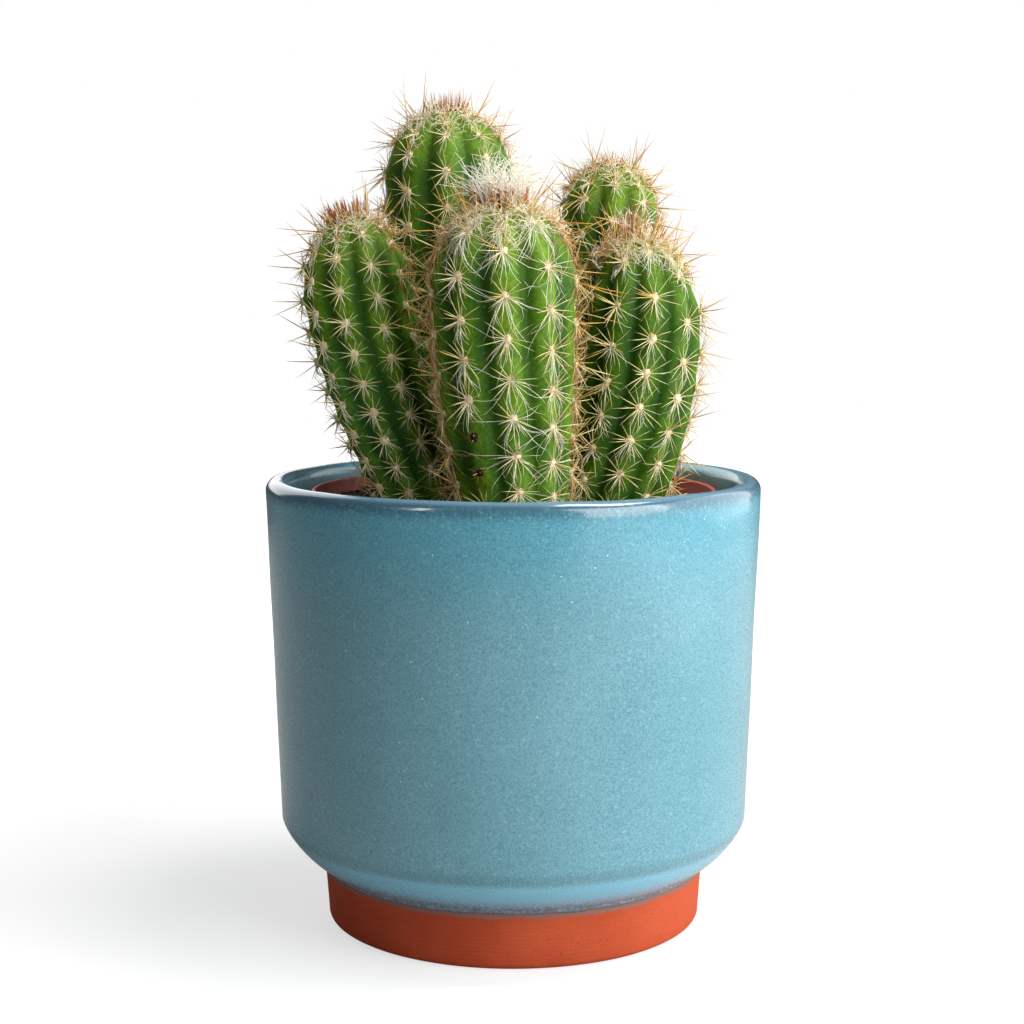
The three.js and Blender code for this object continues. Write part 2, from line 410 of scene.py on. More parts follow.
def nursery_plastic_material():
    material, tree, shader = new_material("nursery_plastic")
    place = object_place(tree)
    patch = mottled(tree, 40.0, 2200.0)
    red = mixed(tree, patch["Cloud"], (0.56, 0.036, 0.012), (0.66, 0.058, 0.018))
    dust = put(tree, "ShaderNodeTexNoise", {"Vector": place, "Scale": 160.0, "Detail": 5.0})
    red = mixed(tree, ranged(tree, dust.outputs["Fac"], 0.55, 0.75, 0.0, 0.25), red,
                (0.20, 0.10, 0.06))
    surfaced(tree, shader, red, patch["Cloud"], (0.4, 0.52), 0.3)
    bumped(tree, shader, patch["Height"], 0.05 * MM, 0.4)
    return material


def growing_pot_outline():
    rim, base = pot_high.z, pot_low.z
    band, underside = rim - band_height, base + standing_ring
    lip = 0.6 * MM
    return (
        [(0, underside)] + line((0, underside), (pot_base_radius - 6 * MM, underside), 3)
        + [(pot_base_radius - 6 * MM, underside), (pot_base_radius - 5 * MM, base)]
        + [(pot_base_radius - 0.6 * MM, base), (pot_base_radius, base + 0.8 * MM)]
        + line((pot_base_radius, base), (pot_rim - band_step, band), 8)
        + [(pot_rim - band_step, band), (pot_rim - 0.35 * MM, band + 0.3 * MM)]
        + [(pot_rim, band + 0.9 * MM)]
        + arc((pot_rim - lip, rim - lip), (lip, lip), 0, 180, 8)
        + [(pot_rim - pot_wall - 0.2 * MM, band + 1.6 * MM)]
        + [(pot_rim - band_step - pot_wall, band - 0.6 * MM)]
        + [(pot_base_radius - pot_wall + 0.5 * MM, underside + pot_wall), (0, underside + pot_wall)]
    )


growing_pot = piece_from(
    turned_mesh(growing_pot_outline(), 160), "growing_pot", nursery_plastic_material(),
    "nursery_plastic", "nursery_pot",
)
drill = bmesh.new()
for index in range(drain_holes):
    turn = Matrix.Rotation(math.tau * index / drain_holes, 4, "Z")
    at = Matrix.Translation((drain_circle, 0, pot_low.z + standing_ring))
    bmesh.ops.create_cone(
        drill, cap_ends=True, segments=24, radius1=drain_radius, radius2=drain_radius,
        depth=8 * MM, matrix=turn @ at,
    )
drill_object = new_object("drain_drill", mesh_from(drill, "drain_drill"))
holes = growing_pot.modifiers.new("drain_holes", "BOOLEAN")
holes.operation, holes.object = "DIFFERENCE", drill_object
depsgraph = bpy.context.evaluated_depsgraph_get()
drilled = bpy.data.meshes.new_from_object(growing_pot.evaluated_get(depsgraph))
growing_pot.modifiers.remove(holes)
growing_pot.data = drilled
bpy.data.objects.remove(drill_object)

# ---- Stems: skin --------------------------------------------------------------------------
# Five columns stand close together. Each has ten blunt ribs that swell a little at every
# felt pad and run together in a woolly crown. The skin is waxy and mid green, painted
# lighter on the rib crests as a highlight and darker in the grooves as shade, yellow-green
# where it is young and corky at the foot.

neck_height = 120 * MM
root_depth = 18 * MM
rib_count = 10
skin_rows, skin_steps_per_rib = 110, 14

# neck and body are crest radii; spacing is the share of the length between two pads of a
# rib, from the top pad down, with how much each step shrinks and the least it may be;
# the last value is painted shade, how much darker a stem's green is painted for less light.
stems = {
    "stem_front_centre": dict(
        base=(0.5, -29), apex=(-3, -30, 208.5), bow=-1, neck=14.5, body=20.3,
        shoulder=0.77, swell=1.8, turn=8, twist=-9, spacing=(0.134, 0.0047, 0.1),
        first=(0.86, 0.942, 0.894, 0.93, 0.87, 0.94, 0.88, 0.93, 0.875, 0.923),
        painted_shade=0.0,
    ),
    "stem_front_left": dict(
        base=(-21.5, -8.5), apex=(-48, -5, 206), bow=-5, neck=13, body=15.5,
        shoulder=0.76, swell=2.1, turn=-15, twist=4, spacing=(0.106, 0.003, 0.08),
        first=(0.867, 0.919, 0.869, 0.92, 0.86, 0.91, 0.86, 0.92, 0.88, 0.821),
        painted_shade=0.0,
    ),
    "stem_front_right": dict(
        base=(27, -8.5), apex=(36, -6, 200), bow=4.5, neck=14.5, body=17,
        shoulder=0.68, swell=2.1, turn=-6, twist=18, spacing=(0.158, 0.016, 0.118),
        first=(0.946, 0.874, 0.92, 0.88, 0.93, 0.87, 0.94, 0.88, 0.93, 0.904),
        painted_shade=0.4,
    ),
    "stem_back_left": dict(
        base=(-17, 22), apex=(-20, 27, 238.5), bow=0, neck=15, body=19.8,
        shoulder=0.82, swell=2, turn=0, twist=0, spacing=(0.09, 0.0015, 0.075),
        first=(0.926, 0.87, 0.92, 0.88, 0.93, 0.88, 0.92, 0.87, 0.93, 0.883),
        painted_shade=0.2,
    ),
    "stem_back_right": dict(
        base=(25, 22), apex=(30, 28, 222.5), bow=0, neck=13, body=15.1,
        shoulder=0.84, swell=2, turn=2, twist=0, spacing=(0.105, 0.002, 0.085),
        first=(0.933, 0.885, 0.94, 0.89, 0.93, 0.88, 0.94, 0.89, 0.93, 0.89),
        painted_shade=0.25,
    ),
}


class Stem:
    """One column: where its skin lies for an angle round it and a share of its length."""

    def __init__(self, base, apex, bow, neck, body, shoulder, swell, turn, twist, spacing, first,
                 painted_shade):
        self.foot = Vector((base[0] * MM, base[1] * MM, neck_height))
        self.along = Vector(apex) * MM - self.foot
        self.bow, self.neck, self.body = bow * MM, neck * MM, body * MM
        self.shoulder, self.swell = shoulder, swell
        self.turn, self.twist = math.radians(turn), math.radians(twist)
        self.up = self.along.normalized()
        self.right = Vector((0, 1, 0)).cross(self.up).normalized()
        self.back = self.up.cross(self.right)
        self.root_end = -root_depth / self.along.z
        self.painted_shade = painted_shade
        self.groove_depth = 0.125 * self.body
        self.rows = [self.pad_shares(start, *spacing) for start in first]

    def pad_shares(self, start, step, shrink, least):
        """The shares of the length where one rib's pads sit, from the crown down."""
        shares = [start + (1 - start) * part for part in (0.8, 0.45)]
        while start > -0.06:
            shares.append(start)
            start -= max(step, least)
            step -= shrink
        return shares

    def crest(self, s):
        if s < 0:
            return self.neck * (1 - 0.45 * (s / self.root_end) ** 2)
        rise = min(s / self.shoulder, 1)
        body = self.neck + (self.body - self.neck) * (1 - (1 - rise) ** self.swell)
        dome = max(0, s - self.shoulder) / (1 - self.shoulder)
        return body * math.sqrt(max(0, 1 - dome ** 2))

    def rib_share(self, around):
        """0 on a rib's crest, 1 in the groove beside it."""
        return abs(math.sin(rib_count * around / 2))

    def pad_share(self, around, s):
        """1 at a felt pad of the nearest rib, 0 halfway between two."""
        shares = self.rows[round(rib_count * around / math.tau) % rib_count]
        phase = np.interp(-s, [-share for share in shares], range(len(shares)))
        return 0.5 + 0.5 * math.cos(math.tau * phase)

    def point(self, around, s, lift=0.0):
        """A point on the skin, or lifted off it; around is measured from a rib's crest."""
        groove = self.rib_share(around)
        depth = self.groove_depth * (0.72 * groove ** 2.8 + 0.28 * groove ** 14)
        crest = self.crest(s)
        swelling = 0.5 * MM * (self.pad_share(around, s) - 0.6) * (1 - groove) ** 1.2
        share = crest / self.body
        radius = crest - depth * share + swelling * min(1, 2 * share) + lift
        angle = around + self.turn + self.twist * s
        centre = self.foot + self.along * s + Vector((self.bow * 4 * s * (1 - s), 0, 0))
        return centre + radius * (math.sin(angle) * self.right - math.cos(angle) * self.back)

    def crown_point(self, angle, reach, sunk=0.0):
        """A point on the dome, at a share of its width from the tip, and its way outward."""
        flat = math.cos(angle) * self.right + math.sin(angle) * self.back
        dome = (1 - self.shoulder) * self.along.length
        drop = dome * (1 - math.sqrt(max(0, 1 - reach * reach))) + sunk
        return self.foot + self.along + flat * reach * self.body - self.up * drop, flat

    def axes(self, around, s):
        """Outward, upward and sideways directions of the skin at a point."""
        here = self.point(around, s)
        upward = (self.point(around, min(s + 0.01, 0.999)) - self.point(around, s - 0.01))
        sideways = self.point(around + 0.02, s) - self.point(around - 0.02, s)
        upward.normalize()
        outward = sideways.cross(upward).normalized()
        return here, outward, upward, outward.cross(upward).normalized() * -1


def painted(tree, name):
    """The value that a mesh carries under a name."""
    return put(tree, "ShaderNodeAttribute", attribute_name=name).outputs["Fac"]


def skin_material():
    material, tree, shader = new_material("stem_skin")
    place = object_place(tree)
    patch = mottled(tree, 75.0, 950.0)
    rib = painted(tree, "groove")
    age = painted(tree, "share")
    pad = painted(tree, "pad")
    green = mixed(tree, patch["Cloud"], (0.030, 0.105, 0.003), (0.100, 0.225, 0.006))
    # Painted highlight: the rib crests are painted a lighter green.
    crest = ranged(tree, rib, 0.8, 0.0, 0.0, 0.42)
    green = mixed(tree, crest, green, (0.175, 0.32, 0.014))
    # Painted shade: the grooves between the ribs are painted a darker green.
    green = mixed(tree, ranged(tree, rib, 0.6, 1.0, 0.0, 0.75), green, (0.010, 0.050, 0.002))
    young = ranged(tree, age, 0.80, 0.98, 0.0, 0.6)
    green = mixed(tree, young, green, (0.24, 0.38, 0.03))
    bloom = ranged(tree, put(tree, "ShaderNodeTexNoise", {
        "Vector": place, "Scale": 26.0, "Detail": 2.0,
    }).outputs["Fac"], 0.5, 0.72, 0.0, 0.35)
    green = mixed(tree, bloom, green, (0.04, 0.19, 0.045))
    halo = ranged(tree, pad, 0.82, 1.0, 0.0, 0.35)
    green = mixed(tree, worked(tree, "MULTIPLY", halo, crest), green, (0.30, 0.42, 0.08))
    grain = mixed(tree, patch["Grain"], (0.62, 0.66, 0.5), (1.3, 1.25, 1.25))
    green = mixed(tree, 0.8, green, grain, "MULTIPLY")
    green = mixed(tree, specked(tree, 620.0, 0.12, 0.2), green, (0.17, 0.28, 0.06))
    cork = ranged(tree, worked(tree, "ADD", age, worked(tree, "MULTIPLY", patch["Cloud"], 0.09)),
                  0.0, 0.10, 0.7, 0.0)
    green = mixed(tree, cork, green, (0.12, 0.10, 0.03))
    # Painted shade: each stem's green is darkened by its own amount, as if it stood in less light.
    painted_shade = painted(tree, "painted_shade")
    green = mixed(tree, painted_shade, green, (0.012, 0.060, 0.001))
    surfaced(tree, shader, green, patch["Grain"], (0.48, 0.66), 0.16)
    wrinkle = put(tree, "ShaderNodeTexNoise", {"Vector": place, "Scale": 260.0, "Detail": 4.0})
    relief = worked(tree, "ADD", wrinkle.outputs["Fac"],
                    worked(tree, "MULTIPLY", patch["Height"], 0.4))
    bumped(tree, shader, relief, 0.4 * MM, 0.5)
    return material


def attribute(mesh, name, values):
    made = mesh.attributes.new(name, "FLOAT", "POINT")
    made.data.foreach_set("value", np.array(values, np.float32))


def skin_mesh(stem):
    """Spins the column's crest line, then moves every point to its place on the stem."""
    body_shares = np.linspace(stem.root_end, stem.shoulder, skin_rows * 3 // 4)
    dome_angles = np.linspace(0, math.pi / 2, skin_rows // 4)[1:]
    dome_shares = stem.shoulder + (1 - stem.shoulder) * np.sin(dome_angles)
    shares = [float(s) for s in (*body_shares, *dome_shares)]
    column = turned_mesh(
        [(0, shares[0])] + [(1, s) for s in shares[:-1]] + [(0, 1)],
        rib_count * skin_steps_per_rib,
    )
    grooves, ages, pads = [], [], []
    for vert in column.verts:
        around, s = math.atan2(vert.co.x, -vert.co.y), vert.co.z
        at_pole = math.hypot(vert.co.x, vert.co.y) < 0.5
        lift = 0.1 * MM * noise.noise(vert.co * 9)
        if at_pole:
            vert.co = stem.foot + stem.along * s + Vector((stem.bow * 4 * s * (1 - s), 0, 0))
        else:
            vert.co = stem.point(around, s, lift * stem.crest(s) / stem.body)
        grooves.append(stem.rib_share(around) * (stem.crest(s) / stem.body))
        ages.append(s)
        pads.append(stem.pad_share(around, s))
    mesh = mesh_from(column, "skin")
    attribute(mesh, "groove", grooves)
    attribute(mesh, "share", ages)
    attribute(mesh, "pad", pads)
    attribute(mesh, "painted_shade", [stem.painted_shade] * len(ages))
    return mesh


stem_skin = skin_material()
grown = {name: Stem(**sizes) for name, sizes in stems.items()}
for name, stem in grown.items():
    piece_of(skin_mesh(stem), name.replace("stem", "skin"), stem_skin, "stem_skin", name)

# ---- Stems: felt pads ---------------------------------------------------------------------
# Every areole is a small oval pad of cream felt on the crest of its rib, with the spines and
# hairs standing in it. Two old ones low on the front stem have turned to dark cork.

felt_length, felt_width, felt_height = 1.5 * MM, 1.3 * MM, 0.8 * MM
corky = {("stem_front_centre", 9, 7), ("stem_front_centre", 9, 8)}


def felt_material():
    material, tree, shader = new_material("areole_felt")
    patch = mottled(tree, 400.0, 4200.0)
    worn = painted(tree, "worn")
    felt = mixed(tree, patch["Cloud"], (0.60, 0.46, 0.20), (0.92, 0.82, 0.52))
    felt = mixed(tree, worked(tree, "MULTIPLY", patch["Grain"], 0.4), felt, (0.96, 0.88, 0.64))
    felt = mixed(tree, worn, felt, (0.030, 0.012, 0.005))
    surfaced(tree, shader, felt, patch["Grain"], (0.8, 0.95), 0.15)
    bumped(tree, shader, patch["Height"], 0.25 * MM, 0.9)
    return material


def pads_of(name, stem):
    """Every pad of a stem: its rib, its share of the length, its angle, its size, if corky."""
    for rib, shares in enumerate(stem.rows):
        for row, s in enumerate(shares):
            size = 0.55 + 0.45 * min(1, row / 2)
            yield rib, s, math.tau * rib / rib_count, size, (name, rib, row) in corky


def felt_piece(name, stem, material):
    luck = random.Random("felt " + name)
    felt = bmesh.new()
    worn = []
    for _, s, around, size, old in pads_of(name, stem):
        here, outward, upward, sideways = stem.axes(around, s)
        scale = size * luck.uniform(0.88, 1.12)
        turn = Matrix((sideways, upward, outward)).transposed().to_4x4()
        stretch = Matrix.Diagonal((felt_width * scale, felt_length * scale,
                                   felt_height * scale, 1))
        made = bmesh.ops.create_icosphere(
            felt, subdivisions=1, radius=1,
            matrix=Matrix.Translation(here + outward * 0.15 * MM) @ turn @ stretch,
        )
        for vert in made["verts"]:
            vert.co += outward * luck.uniform(-0.25, 0.3) * MM * scale
            vert.co += upward * luck.uniform(-0.3, 0.3) * MM * scale
            vert.co += sideways * luck.uniform(-0.3, 0.3) * MM * scale
        worn += [float(old)] * len(made["verts"])
    mesh = mesh_from(felt, "felt")
    attribute(mesh, "worn", worn)
    piece_of(mesh, name.replace("stem", "felt"), material, "areole_felt")


areole_felt = felt_material()
for name, stem in grown.items():
    felt_piece(name, stem, areole_felt)

# ---- Stems: spines ------------------------------------------------------------------------
# A star of fine straw-coloured needles lies round each pad, with a few stouter amber ones
# standing out from its middle. They are longest near the top, and the crown is packed with
# short upright red-brown ones that have not spread yet.

thread_sides = 4
spine_habit = {
    # name: star needles, their least and greatest length, middle spines, their greatest
    "stem_front_centre": (13, 5.0, 9.0, 2, 15.0),
    "stem_front_left": (12, 4.0, 6.5, 2, 11.0),
    "stem_front_right": (13, 5.0, 8.5, 2, 14.0),
    "stem_back_left": (12, 4.5, 7.5, 2, 11.0),
    "stem_back_right": (12, 4.5, 7.5, 2, 11.0),
}


def thread_mesh(name, strands):
    """Makes a mesh of tapering threads. A strand is its points, their radii and a tone."""
    curve = bpy.data.curves.new(name, "CURVE")
    curve.dimensions, curve.fill_mode = "3D", "FULL"
    curve.bevel_depth, curve.bevel_resolution = 1.0, 0
    for points, radii, _ in strands:
        spline = curve.splines.new("POLY")
        spline.points.add(len(points) - 1)
        flat = [value for point in points for value in (*point, 1.0)]
        spline.points.foreach_set("co", flat)
        spline.points.foreach_set("radius", radii)
    holder = new_object(name, curve)
    depsgraph = bpy.context.evaluated_depsgraph_get()
    mesh = bpy.data.meshes.new_from_object(holder.evaluated_get(depsgraph))
    bpy.data.objects.remove(holder)
    along, tones = [], []
    for points, _, tone in strands:
        share = np.linspace(0, 1, len(points))
        along += list(np.repeat(share, thread_sides))
        tones += [tone] * (thread_sides * len(points))
    attribute(mesh, "along", along)
    attribute(mesh, "tone", tones)
    capped = bmesh.new()
    capped.from_mesh(mesh)
    bmesh.ops.holes_fill(capped, edges=capped.edges, sides=thread_sides)
    capped.to_mesh(mesh)
    capped.free()
    return mesh


def spine_material():
    material, tree, shader = new_material("spine")
    patch = mottled(tree, 180.0, 3000.0)
    tone = painted(tree, "tone")
    along = painted(tree, "along")
    straw = mixed(tree, patch["Cloud"], (0.80, 0.64, 0.26), (0.95, 0.86, 0.50))
    amber = mixed(tree, ranged(tree, tone, 0.25, 0.6), straw, (0.66, 0.34, 0.05))
    red = mixed(tree, ranged(tree, tone, 0.65, 0.95), amber, (0.40, 0.090, 0.022))
    tip = ranged(tree, along, 0.55, 1.0, 0.0, 0.45)
    red = mixed(tree, worked(tree, "MULTIPLY", tip, tone), red, (0.20, 0.06, 0.02))
    surfaced(tree, shader, red, patch["Grain"], (0.38, 0.55))
    bumped(tree, shader, patch["Height"], 0.04 * MM, 0.5)
    return material


def needle(start, direction, length, radius, bend):
    """A tapering spine of three points that bends slightly on its way."""
    points = [start + direction * length * t + bend * length * t * t for t in (0, 0.55, 1)]
    return points, [radius, radius * 0.72, radius * 0.08]


def star(stem, rib, around, s, size, old, habit, luck):
    """The spines of one areole. The flanks have long amber ones, old pads short dark ones."""
    count, least, most, middle, longest = habit if not old else (7, 1.5, 3.5, 2, 4.0)
    flank = 0.3 if rib in (2, 3, 7, 8) else 0.0
    here, outward, upward, sideways = stem.axes(around, s)
    young = max(0.0, min(1.0, (s - 0.45) / 0.5))
    start_angle = luck.uniform(0, math.tau)
    strands = []
    for index in range(count):
        angle = start_angle + math.tau * (index + luck.uniform(-0.3, 0.3)) / count
        out = math.radians(luck.uniform(6, 34))
        flat = math.cos(angle) * sideways + math.sin(angle) * upward
        direction = flat * math.cos(out) + outward * math.sin(out)
        length = luck.uniform(least, most) * MM * (0.6 + 0.4 * size)
        bend = outward * luck.uniform(-0.05, 0.12) + upward * luck.uniform(-0.1, 0.05)
        root = here + flat * 0.45 * MM + outward * 0.4 * MM
        points, radii = needle(root, direction, length, luck.uniform(0.10, 0.145) * MM, bend)
        strands.append((points, radii, luck.uniform(0.0, 0.2) + 0.1 * young + 0.9 * old + flank))
    for index in range(middle):
        angle = luck.uniform(0, math.tau)
        spread = math.radians(luck.uniform(15, 55))
        flat = math.cos(angle) * sideways + math.sin(angle) * upward
        direction = outward * math.cos(spread) + flat * math.sin(spread)
        share = luck.uniform(0.35, 1) * (0.55 + 0.45 * young) + flank
        length = longest * share * MM
        bend = upward * luck.uniform(-0.06, 0.08)
        root = here + outward * 0.4 * MM + flat * 0.4 * MM
        points, radii = needle(root, direction, length, luck.uniform(0.15, 0.2) * MM, bend)
        strands.append((points, radii, luck.uniform(0.15, 0.5) + 0.12 * young + flank / 3))
    return strands


# name: bristles, how far they reach over the dome, their least and greatest length, thickness
crown_habit = {
    "stem_front_centre": (140, 0.36, 5.0, 9.5, 0.24),
    "stem_front_left": (130, 0.34, 4.5, 7.5, 0.26),
    "stem_front_right": (80, 0.40, 7.0, 13.0, 0.2),
    "stem_back_left": (90, 0.27, 4.0, 8.0, 0.2),
    "stem_back_right": (80, 0.24, 3.0, 6.0, 0.17),
}
crown_lances = 9


def crown_bristles(stem, habit, luck):
    """Short red-brown spines packed on the growing tip, and longer amber ones round them."""
    count, widest, least, most, thick = habit
    strands = []
    for index in range(count + crown_lances):
        lance = index >= count
        share = luck.uniform(1.1, 1.9) if lance else math.sqrt(luck.random())
        root, flat = stem.crown_point(luck.uniform(0, math.tau), widest * share, 0.7 * MM)
        direction = (stem.up + flat * share * luck.uniform(0.15, 0.75)).normalized()
        length = (luck.uniform(8, 15) if lance else luck.uniform(least, most)) * MM
        bend = flat * luck.uniform(-0.12, 0.06)
        points, radii = needle(root, direction, length, luck.uniform(0.7, 1) * thick * MM, bend)
        tone = luck.uniform(0.4, 0.75) if lance else luck.uniform(0.85, 1.1) - 0.15 * share
        strands.append((points, radii, tone))
    return strands


spine = spine_material()
for name, stem in grown.items():
    luck = random.Random("spines " + name)
    strands = crown_bristles(stem, crown_habit[name], luck)
    for rib, s, around, size, old in pads_of(name, stem):
        strands += star(stem, rib, around, s, size, old, spine_habit[name], luck)
    piece_of(thread_mesh("spines", strands), name.replace("stem", "spines"), spine, "spine")

# ---- Stems: hairs -------------------------------------------------------------------------
# Fine white hairs grow from the lower edge of every pad and hang down the rib, a few on most
# stems and a curly web of them on the front one, which also carries a tuft of wool on top.

hair_habit = {
    # name: hairs at a pad, their least and greatest length, how wide they fan out and curl
    "stem_front_centre": (14, 4.0, 15.0, 1.0),
    "stem_front_left": (8, 2.5, 6.5, 0.4),
    "stem_front_right": (9, 3.0, 8.5, 0.55),
    "stem_back_left": (6, 3.0, 7.0, 0.5),
    "stem_back_right": (6, 3.0, 7.0, 0.5),
}
wool_habit = {
    # name: threads in the tuft, their least and greatest length, threads in the collar
    "stem_front_centre": (330, 9.0, 19.0, 420),
    "stem_front_left": (30, 3.0, 6.0, 170),
    "stem_front_right": (70, 5.0, 12.0, 240),
    "stem_back_left": (40, 4.0, 8.0, 230),
    "stem_back_right": (40, 4.0, 8.0, 190),
}


def hair_material():
    material, tree, shader = new_material("hair")
    patch = mottled(tree, 220.0, 3000.0)
    tone = painted(tree, "tone")
    white = mixed(tree, patch["Cloud"], (0.95, 0.90, 0.74), (1.0, 0.98, 0.90))
    # tone tints the hairs orange-brown: a real tint on the wool and pad fibres, painted shade on
    # the hairs of ribs 2 to 8.
    white = mixed(tree, tone, white, (0.48, 0.22, 0.02))
    surfaced(tree, shader, white, patch["Grain"], (0.45, 0.6), 0.25)
    bumped(tree, shader, patch["Height"], 0.03 * MM, 0.4)
    return material


def hanging_hair(stem, around, s, length, fan, luck):
    """A hair that runs down over the skin, nearly straight at first, then in a loose curl."""
    steps = 5
    step = length / steps
    heading = -math.pi / 2 + luck.gauss(0, 0.25 + 0.45 * fan)
    turning = luck.gauss(0, 0.05)
    lift = luck.uniform(0.5, 2.2) * MM * (0.4 + 0.6 * fan)
    height, points = 0.5 * MM, []
    for index in range(steps + 1):
        points.append(stem.point(around, s, height))
        turning += luck.gauss(0, 0.05 + 0.16 * index / steps)
        heading += turning
        circle = max(stem.crest(s), 4 * MM)
        around += math.cos(heading) * step / circle
        s = min(0.995, s + math.sin(heading) * step / stem.along.length)
        height = 0.25 * MM + lift * math.sin(math.pi * min(1, (index + 1) / steps))
    thin = luck.uniform(0.04, 0.07) * MM
    return points, [thin] * steps + [thin * 0.4]


def wool_thread(stem, root, heading, length, curl, luck):
    """A thread that grows from the crown in widening curls."""
    steps = 7
    axis = Vector((luck.gauss(0, 1), luck.gauss(0, 1), luck.gauss(0, 1))).normalized()
    here, points = root.copy(), []
    for step in range(steps + 1):
        points.append(here.copy())
        here = here + heading * length / steps
        axis = (axis + 0.5 * Vector([luck.gauss(0, 1) for _ in range(3)])).normalized()
        turn = Matrix.Rotation(curl * luck.uniform(0.1, 0.7), 3, axis)
        heading = (turn @ heading + stem.up * 0.05).normalized()
    thin = luck.uniform(0.06, 0.10) * MM
    return points, [thin] * steps + [thin * 0.4]


def fuzz(stem, around, s, size, luck):
    """The short upright fibres of one felt pad."""
    here, outward, upward, sideways = stem.axes(around, s)
    strands = []
    for index in range(8):
        angle = luck.uniform(0, math.tau)
        flat = math.cos(angle) * sideways * 0.85 + math.sin(angle) * upward
        root = here + flat * luck.uniform(0.3, 1.1) * MM * size + outward * 0.2 * MM
        middle = root + (outward * 0.7 + flat * 0.5) * luck.uniform(0.5, 1.0) * MM
        end = middle + (flat * 0.6 + outward * luck.uniform(-0.2, 0.4)) * MM
        thick = luck.uniform(0.07, 0.11) * MM
        strands.append(([root, middle, end], [thick, thick, thick * 0.3], luck.uniform(0, 0.4)))
    return strands


def wool(stem, habit, luck):
    """A tuft of upright white wool on the tip and a collar of cream wool over the dome."""
    count, least, most, collar = habit
    strands = []
    for index in range(count + collar):
        tuft = index < count
        reach = math.sqrt(luck.random()) * 0.30 if tuft else luck.uniform(0.25, 0.80)
        root, flat = stem.crown_point(luck.uniform(0, math.tau), reach, 0.5 * MM)
        lean = luck.uniform(0.0, 0.5) if tuft else luck.uniform(0.6, 2.5)
        heading = (stem.up + flat * lean).normalized()
        length = (luck.uniform(least, most) if tuft else luck.uniform(3, 7)) * MM
        curl = 0.9 if tuft else 1.3
        points, radii = wool_thread(stem, root, heading, length, curl, luck)
        tone = luck.uniform(0, 0.05) if tuft else luck.uniform(0.0, 0.35)
        strands.append((points, radii, tone))
    return strands


hair = hair_material()
for name, stem in grown.items():
    luck = random.Random("hairs " + name)
    count, least, most, fan = hair_habit[name]
    strands = wool(stem, wool_habit[name], luck)
    for rib, s, around, size, old in pads_of(name, stem):
        if old:
            continue
        strands += fuzz(stem, around, s, size, luck)
        # Painted shade: the hairs on ribs 2 to 8, away from the front, are tinted orange-brown.
        stain_and_painted_shade = (0.65, 1.0) if 2 <= rib <= 8 else (0.0, 0.15)
        for index in range(count):
            length = luck.uniform(least, most) * MM
            points, radii = hanging_hair(stem, around, s, length, fan, luck)
            strands.append((points, radii, luck.uniform(*stain_and_painted_shade)))
    piece_of(thread_mesh("hairs", strands), name.replace("stem", "hairs"), hair, "hair")

# ---- Soil ---------------------------------------------------------------------------------
# Dark potting soil of peat and bark fills the growing pot to just below its rim. Its top is
# crumbly and uneven, with loose crumbs, dark fibres and a few dry straw-coloured ones.

soil_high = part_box("soil")[1]
soil_radius = pot_rim - pot_wall - 0.6 * MM
soil_level = soil_high.z - 0.9 * MM


def soil_material():
    material, tree, shader = new_material("potting_soil")
    patch = mottled(tree, 190.0, 1300.0)
    brown = mixed(tree, patch["Cloud"], (0.012, 0.007, 0.004), (0.060, 0.034, 0.018))
    brown = mixed(tree, worked(tree, "MULTIPLY", patch["Grain"], 0.45), brown,
                  (0.11, 0.066, 0.036))
    brown = mixed(tree, specked(tree, 260.0, 0.12, 0.07), brown, (0.30, 0.20, 0.11))
    surfaced(tree, shader, brown, patch["Grain"], (0.85, 0.98))
    bumped(tree, shader, patch["Height"], 0.6 * MM, 0.9)
    return material


def fibre_material():
    material, tree, shader = new_material("dry_fibre")
    patch = mottled(tree, 300.0, 2600.0)
    tone = painted(tree, "tone")
    dry = mixed(tree, patch["Cloud"], (0.36, 0.24, 0.12), (0.62, 0.48, 0.30))
    dry = mixed(tree, tone, dry, (0.06, 0.035, 0.018))
    surfaced(tree, shader, dry, patch["Grain"], (0.75, 0.9))
    bumped(tree, shader, patch["Height"], 0.15 * MM, 0.8)
    return material


def soil_height(x, y):
    """The soil's top at a point: clods, and a slight bank against each stem."""
    rough = noise.fractal(Vector((x, y, 0)) * 130, 0.9, 2.1, 4) * 0.8 * MM
    bank = 0.0
    for stem in grown.values():
        away = math.hypot(x - stem.foot.x, y - stem.foot.y) - stem.neck
        bank = max(bank, math.exp(-max(0, away) / (3 * MM)))
    return soil_level + rough + bank * 0.8 * MM


potting_soil = soil_material()
pot_floor = pot_low.z + standing_ring + pot_wall + 0.3 * MM
soil_bed = turned_mesh(
    [(0, pot_floor), (pot_base_radius - pot_wall, pot_floor)]
    + line((pot_base_radius - pot_wall, pot_floor), (55.5 * MM, 118.8 * MM), 6)
    + [(55.5 * MM, 118.8 * MM), (soil_radius, 121.5 * MM), (soil_radius, soil_level)]
    + line((soil_radius, soil_level), (0, soil_level), 70) + [(0, soil_level)],
    180,
)
for vert in soil_bed.verts:
    if vert.co.z > soil_level - 0.1 * MM:
        vert.co.z = soil_height(vert.co.x, vert.co.y)
piece_from(soil_bed, "soil_bed", potting_soil, "potting_soil", "soil")

